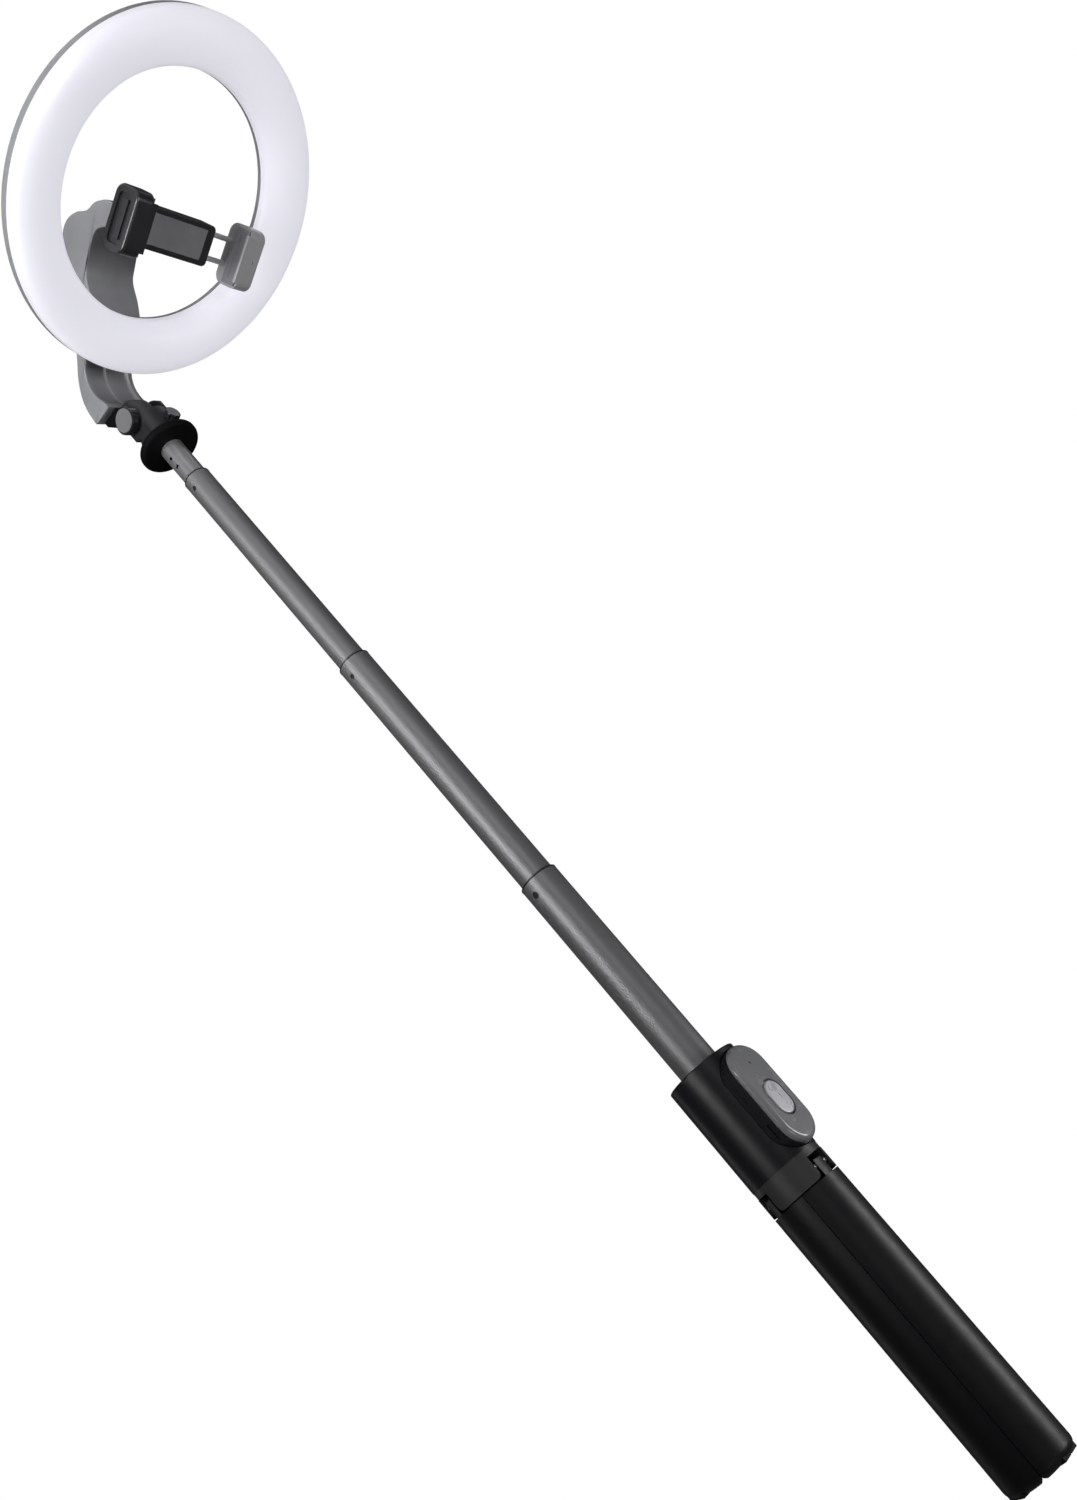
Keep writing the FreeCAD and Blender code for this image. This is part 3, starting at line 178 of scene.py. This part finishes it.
def milky(name):
    """Opal diffuser: soft white with a faint random tone drift and a fine bump."""
    m, nt, bs = new_mat(name)
    v = coords(nt)
    big = noise(nt, v, 22.0, 3.0)
    colour = ramp(nt, big, [(0.3, (0.50, 0.50, 0.54)), (0.7, (0.54, 0.54, 0.575))])
    nt.links.new(colour, bs.inputs["Base Color"])
    nt.links.new(remap(nt, noise(nt, v, 260.0, 2.0), 0.30, 0.40), bs.inputs["Roughness"])
    bs.inputs["Subsurface Weight"].default_value = 0.35
    bs.inputs["Subsurface Radius"].default_value = (0.004, 0.004, 0.0045)
    bs.inputs["Subsurface Scale"].default_value = 1.0
    bs.inputs["Specular IOR Level"].default_value = 0.4
    # painted light: the emission glow brightens the opal in place of light falling on it, not the LEDs shining; it is
    # left out of light sampling
    bs.inputs["Emission Color"].default_value = (0.92, 0.91, 1.0, 1)
    m.cycles.emission_sampling = "NONE"
    bs.inputs["Emission Strength"].default_value = 0.53
    bump(nt, bs, noise(nt, v, 2200.0, 2.0), 0.004 * MM)
    return m


M = {
    "grip": plastic("soft_touch_black", (0.0045, 0.0046, 0.0062), 0.42, grain=0.0, spec=0.45, vary=0.06, rough_vary=0.03),
    "collar": plastic("collar_black", (0.0050, 0.0056, 0.0074), 0.40, grain=0.0, spec=0.45, vary=0.06, rough_vary=0.03),
    "hub": plastic("hub_black", (0.045, 0.045, 0.044), 0.45, grain=0.0, spec=0.5, vary=0.06, rough_vary=0.03),
    "gloss_black": plastic("gloss_black_plastic", (0.010, 0.010, 0.011), 0.24, grain=0.003, grain_scale=900, coat=0.35, coat_rough=0.12, vary=0.15),
    "matte_black": plastic("matte_black_plastic", (0.0045, 0.0045, 0.005), 0.58, grain=0.002, grain_scale=900, spec=0.05, vary=0.12),
    "bush": plastic("black_polymer", (0.012, 0.012, 0.013), 0.5, grain=0.01, grain_scale=2200, vary=0.12),
    "tube": tube_metal("anodised_tube", (0.22, 0.222, 0.226), 0.50, 0.4),
    # painted highlight: the stub is the same anodised tube as the others, given a lighter base and lower roughness so
    # it reads as the brighter-lit end near the head
    "tube_d": tube_metal("anodised_stub_painted_highlight", (0.34, 0.34, 0.35), 0.32, 0.4),
    "steel": tube_metal("plain_steel", (0.58, 0.58, 0.60), 0.30, 0.6),
    "rubber": plastic("black_rubber", (0.02, 0.02, 0.021), 0.75, grain=0.03, grain_scale=1500, vary=0.2, spec=0.3),
    "grey_rubber": plastic("grey_pad_rubber", (0.20, 0.20, 0.212), 0.62, grain=0.03, grain_scale=1300, vary=0.12, spec=0.3),
    "arm": plastic("arm_satin_grey", (0.26, 0.263, 0.275), 0.38, grain=0.004, grain_scale=1500, coat=0.25, coat_rough=0.2, vary=0.10),
    "neck": plastic("neck_satin_black", (0.016, 0.0165, 0.018), 0.38, grain=0.006, grain_scale=1500, vary=0.10),
    "cap": plastic("knob_cap_grey", (0.16, 0.16, 0.165), 0.42, grain=0.008, grain_scale=1500, vary=0.08),
    "housing": plastic("ring_housing_grey", (0.30, 0.304, 0.318), 0.38, grain=0.006, grain_scale=1600, vary=0.06),
    "diffuser": milky("opal_diffuser_painted_glow"),
    # painted highlight: the sliding jaw is the same plastic as the black jaws, given a light grey base that stands in
    # for glare falling on it
    "jaw_lit": plastic("grey_painted_glare_jaw", (0.36, 0.362, 0.37), 0.34, coat=0.2, coat_rough=0.2, vary=0.08),
    "jaw": plastic("jaw_black", (0.016, 0.0165, 0.0185), 0.36, grain=0.008, grain_scale=1800, coat=0.15, coat_rough=0.2, vary=0.12),
    "remote_low": plastic("remote_black", (0.013, 0.013, 0.0145), 0.30, grain=0.003, grain_scale=1500, coat=0.3, coat_rough=0.15, vary=0.12),
    "remote_top": plastic("remote_gloss_grey", (0.25, 0.253, 0.265), 0.24, grain=0.002, grain_scale=700, coat=0.5, coat_rough=0.08, vary=0.08),
    "pearl": plastic("pearl_button", (0.62, 0.62, 0.65), 0.30, grain=0.004, grain_scale=2000, coat=0.3, coat_rough=0.12, vary=0.05, metallic=0.35),
    "board": plastic("solder_mask", (0.01, 0.11, 0.05), 0.35, grain=0.01, grain_scale=900, vary=0.2),
    "led": plastic("led_phosphor", (0.85, 0.74, 0.30), 0.35, grain=0.004, grain_scale=1500, vary=0.08),
    "foil": plastic("cell_foil", (0.42, 0.43, 0.47), 0.30, grain=0.05, grain_scale=160, vary=0.08, metallic=0.8),
}
USE = {
    "hub_core": "hub", "hinge_pins": "steel", "inner_sleeve": "bush", "collar_shell": "collar", "hub_screws": "bush", "collar_bush": "bush",
    "tube_a": "tube", "tube_b": "tube", "tube_c": "tube", "tube_d": "tube_d", "head_flange": "matte_black", "flange_rivets": "matte_black", "pan_screw": "steel",
    "neck": "neck", "tilt_bolt": "steel", "pan_lock_knob": "gloss_black", "tilt_knob": "gloss_black", "tilt_knob_cap": "cap",
    "arm_shell": "arm", "arm_cover": "arm", "hinge_block": "matte_black", "battery_cell": "foil", "control_board": "board", "charge_port": "steel",
    "ring_bracket": "gloss_black", "bracket_screws": "steel", "ring_housing": "housing", "ring_diffuser": "diffuser", "led_board": "board", "leds": "led",
    "power_button": "gloss_black", "up_button": "gloss_black", "down_button": "gloss_black",
    "clamp_body": "jaw", "clamp_post": "jaw", "clamp_pad": "grey_rubber", "fixed_jaw": "jaw", "fixed_jaw_pad": "grey_rubber", "clamp_spring": "steel",
    "sliding_jaw": "jaw_lit", "sliding_jaw_pad": "grey_rubber", "guide_rods": "steel",
    "remote_lower_shell": "remote_low", "remote_upper_shell": "remote_top", "remote_board": "board", "coin_cell": "steel", "shutter_button": "pearl",
}
for k in "abcd":
    USE["tube_%s_foot_bush" % k] = "bush"
for k in "abc":
    USE["tube_%s_mouth_bush" % k] = "bush"
for k in "123":
    USE["leg_%s_shell" % k] = "grip"
    USE["leg_%s_foot" % k] = "rubber"


def dress(o, key, bevel=0.0, angle=32.0, segs=2):
    o.data.materials.clear()
    o.data.materials.append(M[key])
    for p in o.data.polygons:
        p.use_smooth = True
    try:
        o.data.set_sharp_from_angle(angle=math.radians(angle))
    except AttributeError:
        pass
    if bevel > 0:
        b = o.modifiers.new("edge", "BEVEL")
        b.width = bevel * MM
        b.segments = segs
        b.limit_method = "ANGLE"
        b.angle_limit = math.radians(38)
        b.harden_normals = True
        b.use_clamp_overlap = True


BEVEL = {"hub_core": 0.25, "collar_shell": 0.22, "neck": 0.35, "hinge_block": 0.35, "fixed_jaw": 0.25, "sliding_jaw": 0.25, "clamp_body": 0.2,
         "tilt_knob": 0.2, "pan_lock_knob": 0.18, "remote_lower_shell": 0.25, "leg_1_shell": 0.3, "leg_2_shell": 0.3, "leg_3_shell": 0.3, "ring_bracket": 0.2,
         "arm_shell": 0.0, "arm_cover": 0.2, "tilt_knob_cap": 0.15, "clamp_post": 0.25, "leg_1_foot": 0.2, "leg_2_foot": 0.2, "leg_3_foot": 0.2,
         "fixed_jaw_pad": 0.2, "sliding_jaw_pad": 0.2, "clamp_pad": 0.15, "tube_a": 0.05, "tube_b": 0.05, "tube_c": 0.05}
for n, o in NODES.items():
    dress(o, USE[n], BEVEL.get(n, 0.0))

# ------------------------------------------------------------------ meshes made here
TILT = math.radians(16.4)
HEAD = Matrix.Translation((0, 0, 0.649)) @ Matrix.Rotation(TILT, 4, "X")


def smooth_path(pts, sharp, sub=5):
    """Closed Catmull-Rom path through pts; the corners named in sharp stay corners."""
    n = len(pts)
    P = [Vector(p) for p in pts]
    out, corner = [], []
    for i in range(n):
        p1, p2 = P[i], P[(i + 1) % n]
        p0 = P[i - 1] if i not in sharp else p1 - (p2 - p1)
        p3 = P[(i + 2) % n] if (i + 1) % n not in sharp else p2 + (p2 - p1)
        for k in range(sub):
            t = k / sub
            t2, t3 = t * t, t * t * t
            out.append(0.5 * ((2 * p1) + (p2 - p0) * t + (2 * p0 - 5 * p1 + 4 * p2 - p3) * t2 + (3 * p1 - p0 - 3 * p2 + p3) * t3))
            corner.append(k == 0 and i in sharp)
    return out, corner


def normals2d(path):
    """Outward normals of a closed 2-D path."""
    n = len(path)
    area2 = sum(path[i].x * path[(i + 1) % n].y - path[(i + 1) % n].x * path[i].y for i in range(n))
    s = 1 if area2 > 0 else -1
    res = []
    for i in range(n):
        t = (path[(i + 1) % n] - path[i - 1]).normalized()
        res.append(Vector((t.y, -t.x)) * s)
    return res


def mesh_object(name, verts, faces, matrix=None):
    me = bpy.data.meshes.new(name)
    me.from_pydata([tuple(v) for v in verts], [], faces)
    bm = bmesh.new()
    bm.from_mesh(me)
    bmesh.ops.remove_doubles(bm, verts=bm.verts, dist=1e-7)
    bmesh.ops.recalc_face_normals(bm, faces=bm.faces)
    if matrix is not None:
        bmesh.ops.transform(bm, matrix=matrix, verts=bm.verts)
    bm.to_mesh(me)
    bm.free()
    me.validate()
    o = bpy.data.objects.new(name, me)
    SC.collection.objects.link(o)
    return o


def finish_piece(o, key, body, slot, *nodes, angle=35.0, bevel=0.0):
    dress(o, key, bevel, angle)
    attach(o, body)
    if nodes:
        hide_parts(*nodes)
    return o


def profile_solid(name, path, stations, inset_fn, matrix, scale=MM):
    """A closed profile in (y, z) swept along x; inset_fn(i, x) sinks profile point i at that x."""
    nrm = normals2d(path)
    verts, faces = [], []
    n = len(path)
    for x in stations:
        for i in range(n):
            q = path[i] - nrm[i] * inset_fn(i, x)
            verts.append(Vector((x, q.x, q.y)) * scale)
    for s in range(len(stations) - 1):
        for i in range(n):
            a, b = s * n + i, s * n + (i + 1) % n
            faces.append((a, b, b + n, a + n))
    tris = tessellate_polygon([[Vector((q.x, q.y, 0)) for q in path]])
    top = (len(stations) - 1) * n
    for t in tris:
        faces.append(tuple(t))
        faces.append(tuple(top + i for i in reversed(t)))
    me = bpy.data.meshes.new(name)
    me.from_pydata([tuple(v) for v in verts], [], faces)
    bm = bmesh.new()
    bm.from_mesh(me)
    bmesh.ops.recalc_face_normals(bm, faces=bm.faces)
    bmesh.ops.transform(bm, matrix=matrix, verts=bm.verts)
    bm.to_mesh(me)
    bm.free()
    o = bpy.data.objects.new(name, me)
    SC.collection.objects.link(o)
    return o


def sstep(a, b, x):
    t = max(0.0, min(1.0, (x - a) / (b - a)))
    return t * t * (3 - 2 * t)


ARM_PTS = [(1.8, 17.0), (3.0, 21.2), (3.8, 29.7), (7.6, 38.4), (13.7, 43.8), (21.0, 45.4), (30.0, 45.8), (48.0, 46.4), (57.0, 52.0),
           (67.4, 60.0), (80.0, 61.0), (92.0, 60.0), (97.0, 55.0), (100.5, 44.5), (111.5, 44.0), (113.2, 47.0), (113.4, 54.0), (111.6, 59.5),
           (108.4, 65.2), (102.4, 70.6), (98.8, 79.4), (92.4, 86.6), (84.0, 88.6), (73.0, 86.0), (56.0, 77.5), (38.0, 66.5), (21.0, 55.2),
           (7.7, 49.4), (-1.9, 42.6), (-7.6, 35.1), (-12.0, 25.0), (-10.6, 23.6)]
ARM_SHARP = {0, 6, 7, 13, 14, 30, 31}
arm_path, _ = smooth_path(ARM_PTS, ARM_SHARP, 6)
HALF = 17.5
EDGE = 0.7


def edge_inset(x, half=HALF, r=EDGE):
    d = abs(x) - (half - r)
    return 0.0 if d <= 0 else r - math.sqrt(max(0.0, r * r - d * d))


def arm_inset(i, x):
    """Edge rounding, the trough with its rib low on the front, and the sunk bed of the rear cover."""
    d = edge_inset(x)
    s = i / 6.0
    front = sstep(0.9, 1.5, s) * (1 - sstep(4.3, 5.3, s))
    if front > 0:
        ax = abs(x)
        across = 1 - sstep(13.2, 14.4, ax)
        rib = 1 - sstep(1.7, 2.9, ax)
        d = max(d, front * 2.3 * across * (1 - 0.75 * rib))
    bed = sstep(21.55, 21.7, s) * (1 - sstep(25.5, 25.65, s))
    if bed > 0:
        d = max(d, bed * 2.4 * (1 - sstep(14.95, 15.05, abs(x))))
    return d


xs = [HALF - EDGE * (1 - math.sin(math.radians(a))) for a in (90, 72, 54, 36, 18, 0)]
half_st = [0, 0.9, 1.7, 2.1, 2.5, 2.9, 4.5, 7.5, 10.5, 13.2, 13.6, 14.0, 14.4, 14.95, 15.05] + [x for x in reversed(xs) if x > 15.06]
stations = [-x for x in reversed(half_st) if x > 0] + half_st
arm_obj = profile_solid("arm_body", arm_path, stations, arm_inset, HEAD)
# boss that takes the clamp's post
bpts = [(3.6, 38.35), (8.6, 38.35), (9.2, 38.95), (9.2, 52.0), (3.6, 52.0)]
verts, faces = [], []
SEG = 72
for k in range(SEG):
    a = 2 * math.pi * k / SEG
    for r, z in bpts:
        verts.append(Vector((r * math.cos(a), 109 + r * math.sin(a), z)) * MM)
for k in range(SEG):
    for j in range(len(bpts)):
        a, b = k * len(bpts) + j, k * len(bpts) + (j + 1) % len(bpts)
        c, d = ((k + 1) % SEG) * len(bpts) + (j + 1) % len(bpts), ((k + 1) % SEG) * len(bpts) + j
        faces.append((a, b, c, d))
boss_obj = mesh_object("arm_post_boss", verts, faces, HEAD)
finish_piece(arm_obj, "arm", "ring_arm", "arm_grey", "arm_shell", angle=40)
finish_piece(boss_obj, "arm", "ring_arm", "arm_grey", angle=40)

# rear cover: a thin shell that fills the bed, with a fine gap round it
cov_i = list(range(int(21.75 * 6), int(25.45 * 6) + 1))
cov_nrm = normals2d(arm_path)
outer = [arm_path[i] for i in cov_i]
on = [cov_nrm[i] for i in cov_i]
cv, cf = [], []
cx = [-14.7, -14.55, -14.2, -13.6, -7, 0, 7, 13.6, 14.2, 14.55, 14.7]


def cov_drop(u, v):
    du = min(u, 1 - u) * len(cov_i) * 1.2
    dv = 14.7 - abs(v)
    return 0.55 * (1 - sstep(0, 1.0, min(du, dv * 1.2)))


nu = len(cov_i)
for x in cx:
    for j in range(nu):
        q = outer[j] - on[j] * (0.05 + cov_drop(j / (nu - 1), x))
        cv.append(Vector((x, q.x, q.y)) * MM)
for x in cx:
    for j in range(nu):
        q = outer[j] - on[j] * 1.9
        cv.append(Vector((x, q.x, q.y)) * MM)
off = len(cx) * nu
for s in range(len(cx) - 1):
    for j in range(nu - 1):
        a = s * nu + j
        cf.append((a, a + 1, a + 1 + nu, a + nu))
        cf.append((off + a, off + a + nu, off + a + 1 + nu, off + a + 1))
for s in range(len(cx) - 1):
    for j in (0, nu - 1):
        a = s * nu + j
        cf.append((a, a + nu, off + a + nu, off + a))
for j in range(nu - 1):
    for s in (0, len(cx) - 1):
        a = s * nu + j
        cf.append((a, a + 1, off + a + 1, off + a))
cover_obj = mesh_object("arm_rear_cover", cv, cf, HEAD)
finish_piece(cover_obj, "arm", "ring_arm", "arm_grey", "arm_cover", angle=40)


def lathe(name, prof, matrix, seg=256):
    """A closed (radius, height) profile, in millimetres, turned about its own Z axis."""
    verts, faces = [], []
    m = len(prof)
    for k in range(seg):
        a = 2 * math.pi * k / seg
        for r, z in prof:
            verts.append(Vector((r * math.cos(a), r * math.sin(a), z)) * MM)
    for k in range(seg):
        k2 = (k + 1) % seg
        for j in range(m):
            j2 = (j + 1) % m
            faces.append((k * m + j, k * m + j2, k2 * m + j2, k2 * m + j))
    return mesh_object(name, verts, faces, matrix)


RING = HEAD @ Matrix.Translation((0, 0.1257, 0.0025))
RO, RI = 103.4, 71.6
dome = [(RO - 0.75, 24.55), (RO - 0.75, 22.6), (RO - 0.04, 22.4), (RO, 17.7), (RO - 0.9, 15.6), (RO - 3.2, 13.7), (RO - 7.5, 12.3), (RO - 12.5, 11.92), (RO - 17.5, 12.3), (RO - 22.5, 13.5),
        (RO - 27.0, 15.6), (RO - 30.2, 18.0), (RI + 0.05, 20.7), (RI + 0.05, 24.55), (RI + 1.9, 24.55), (RI + 1.9, 21.0), (RO - 29.4, 19.3), (RO - 26.2, 17.1), (RO - 22.0, 15.2),
        (RO - 17.3, 14.1), (RO - 12.5, 13.7), (RO - 8.0, 14.1), (RO - 4.3, 15.4), (RO - 2.6, 16.9), (RO - 1.9, 18.5), (RO - 1.9, 24.55)]
dome_path, _ = smooth_path(dome, {0, 1, 2, 12, 13, 14, 15, 25}, 4)
ring_obj = lathe("ring_opal", [(p.x, p.y) for p in dome_path], RING, 288)
finish_piece(ring_obj, "diffuser", "ring_arm", "diffuser", "ring_diffuser", angle=45)
# the housing's outer lip, which holds the diffuser's edge
lip_obj = lathe("ring_lip", [(RO - 0.7, 22.5), (RO - 0.2, 22.5), (RO - 0.02, 22.7), (RO - 0.02, 24.62), (RO - 0.7, 24.62)], RING, 288)
finish_piece(lip_obj, "housing", "ring_arm", "ring_grey", angle=45)

# ------------------------------------------------------------------ floor, light, camera


def area(name, loc, target, sx, sy, power, colour=(1, 1, 1), spread=180):
    d = bpy.data.lights.new(name, "AREA")
    d.shape = "RECTANGLE"
    d.size, d.size_y, d.energy, d.color = sx, sy, power, colour
    d.spread = math.radians(spread)
    o = bpy.data.objects.new(name, d)
    SC.collection.objects.link(o)
    o.location = loc
    o.rotation_mode = "QUATERNION"
    o.rotation_quaternion = (Vector(target) - Vector(loc)).to_track_quat("-Z", "Y")
    o.visible_camera = False
    return o


def polar(az, r, z):
    a = math.radians(az)
    return (r * math.cos(a), r * math.sin(a), z)


floor_mesh = bpy.data.meshes.new("floor")
floor_mesh.from_pydata([(-30, -30, -0.62), (30, -30, -0.62), (30, 30, -0.62), (-30, 30, -0.62)], [], [(0, 1, 2, 3)])
floor = bpy.data.objects.new("floor", floor_mesh)
SC.collection.objects.link(floor)
fm, fnt, fbs = new_mat("pale_floor")
fout = [n for n in fnt.nodes if n.type == "OUTPUT_MATERIAL"][0]
nt_grain = noise(fnt, coords(fnt), 3.0, 3.0)
fnt.links.new(ramp(fnt, nt_grain, [(0.3, (0.80, 0.80, 0.80)), (0.7, (0.83, 0.83, 0.83))]), fbs.inputs["Base Color"])
fbs.inputs["Roughness"].default_value = 0.9
em = fnt.nodes.new("ShaderNodeEmission")
em.inputs[0].default_value = (1, 1, 1, 1)
em.inputs[1].default_value = 1.0
lp = fnt.nodes.new("ShaderNodeLightPath")
mx = fnt.nodes.new("ShaderNodeMixShader")
fnt.links.new(lp.outputs["Is Camera Ray"], mx.inputs[0])
fnt.links.new(fbs.outputs[0], mx.inputs[1])
fnt.links.new(em.outputs[0], mx.inputs[2])
fnt.links.new(mx.outputs[0], fout.inputs[0])
floor_mesh.materials.append(fm)

w = bpy.data.worlds.new("studio")
SC.world = w
w.use_nodes = True
wn = w.node_tree
wn.nodes.clear()
wo = wn.nodes.new("ShaderNodeOutputWorld")
b1 = wn.nodes.new("ShaderNodeBackground")
b1.inputs[0].default_value = (0.93, 0.95, 1.0, 1)
b1.inputs[1].default_value = 0.05
b2 = wn.nodes.new("ShaderNodeBackground")
b2.inputs[0].default_value = (1, 1, 1, 1)
b2.inputs[1].default_value = 1.0
lpw = wn.nodes.new("ShaderNodeLightPath")
mw = wn.nodes.new("ShaderNodeMixShader")
wn.links.new(lpw.outputs["Is Camera Ray"], mw.inputs[0])
wn.links.new(b1.outputs[0], mw.inputs[1])
wn.links.new(b2.outputs[0], mw.inputs[2])
wn.links.new(mw.outputs[0], wo.inputs[0])

area("rim_right", polar(131, 0.75, -0.06), (0, 0, -0.04), 0.16, 0.42, 0.95, spread=130)
area("rim_left", polar(-85, 0.9, 0.05), (0, 0, 0.0), 0.10, 0.5, 0.10, spread=130)
area("key_left", polar(2, 1.3, 0.66), (0, 0.03, 0.62), 0.45, 0.6, 1.5, spread=46)
area("key_front", polar(62, 1.9, 1.0), (0, 0.05, 0.50), 0.5, 1.0, 0.6, spread=60)
area("fill_low", (0.35, 0.95, -0.35), (0, 0.12, 0.70), 0.5, 0.5, 0.8, spread=55)
area("top", (0.3, 0.2, 2.0), (0, 0.1, 0.5), 1.0, 1.0, 2.5)

cd = bpy.data.cameras.new("camera")
cam = bpy.data.objects.new("camera", cd)
SC.collection.objects.link(cam)
cd.lens, cd.sensor_width, cd.sensor_fit = 36.0, 36.0, "AUTO"
cd.clip_start, cd.clip_end = 0.01, 100
R = Vector((-0.59883, 0.50250, -0.62361))
U = Vector((-0.14688, 0.69655, 0.70232))
Z = Vector((0.78729, 0.51216, -0.34331))
cam.matrix_world = Matrix(((R.x, U.x, Z.x, 0.5993), (R.y, U.y, Z.y, 0.4426), (R.z, U.z, Z.z, 0.0538), (0, 0, 0, 1)))
SC.camera = cam
SC.view_settings.view_transform = "Standard"
SC.view_settings.look = "None"
